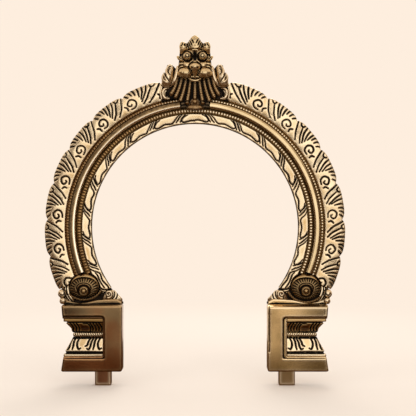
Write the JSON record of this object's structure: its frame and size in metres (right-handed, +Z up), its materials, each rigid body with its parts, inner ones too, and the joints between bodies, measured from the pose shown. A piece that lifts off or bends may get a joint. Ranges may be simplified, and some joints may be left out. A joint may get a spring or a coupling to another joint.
{
  "type": "prabhavali halo arch",
  "caption": "Horseshoe halo arch in brass with a lion-mask crest, chased flame border, beaded mouldings, rosettes and pilaster feet that stand on tenons.",
  "frame": {"origin": "midway between the two tenons, on the plane of the feet's shoulders and on the tenons' middle plane", "axes": "+Z up the arch, +X to the viewer's right, -Y out of the chased front"},
  "size_m": [0.301, 0.0245, 0.3501],
  "materials": {
    "chased_brass": "polished, dark patina in the chased lines",
    "roll_brass": "polished by handling",
    "bead_brass": "punched, dark patina round the beads",
    "crest_brass": "cast, brown patina, worn bright on the heights",
    "rosette_brass": "cast, brown patina, worn bright on the heights",
    "foot_brass": "cast and filed, rubbed",
    "back_brass": "plain sheet, unpolished",
    "pin_brass": "hammered"
  },
  "bodies": {
    "root": {"arch_plate": "back_brass", "leaf_band": "chased_brass", "inner_bead_strip": "bead_brass", "roll_moulding_left": "roll_brass", "roll_moulding_right": "roll_brass", "outer_bead_strip_left": "bead_brass", "outer_bead_strip_right": "bead_brass", "flame_border_left": "chased_brass", "flame_border_right": "chased_brass", "crest_plate": "back_brass", "mask_face": "crest_brass", "mask_crown": "crest_brass", "mask_beard": "crest_brass", "side_scroll_left": "crest_brass", "side_scroll_right": "crest_brass", "rosette_left": "rosette_brass", "rosette_right": "rosette_brass", "rosette_rivet_left": "rosette_brass", "rosette_rivet_right": "rosette_brass", "rosette_collar_left": "rosette_brass", "rosette_collar_right": "rosette_brass", "heel_scroll_left": "rosette_brass", "heel_scroll_right": "rosette_brass", "toe_curl_left": "rosette_brass", "toe_curl_right": "rosette_brass", "foot_frame_left": "foot_brass", "foot_frame_right": "foot_brass", "capital_left": "foot_brass", "capital_right": "foot_brass", "neck_bead_left": "foot_brass", "neck_bead_right": "foot_brass", "lotus_base_left": "foot_brass", "lotus_base_right": "foot_brass", "tenon_left": "foot_brass", "tenon_right": "foot_brass", "moulding_pins": "pin_brass", "roll_pins": "pin_brass", "crest_pins": "pin_brass", "foot_pins": "pin_brass", "tenon_pins": "pin_brass"}
  },
  "joints": []
}
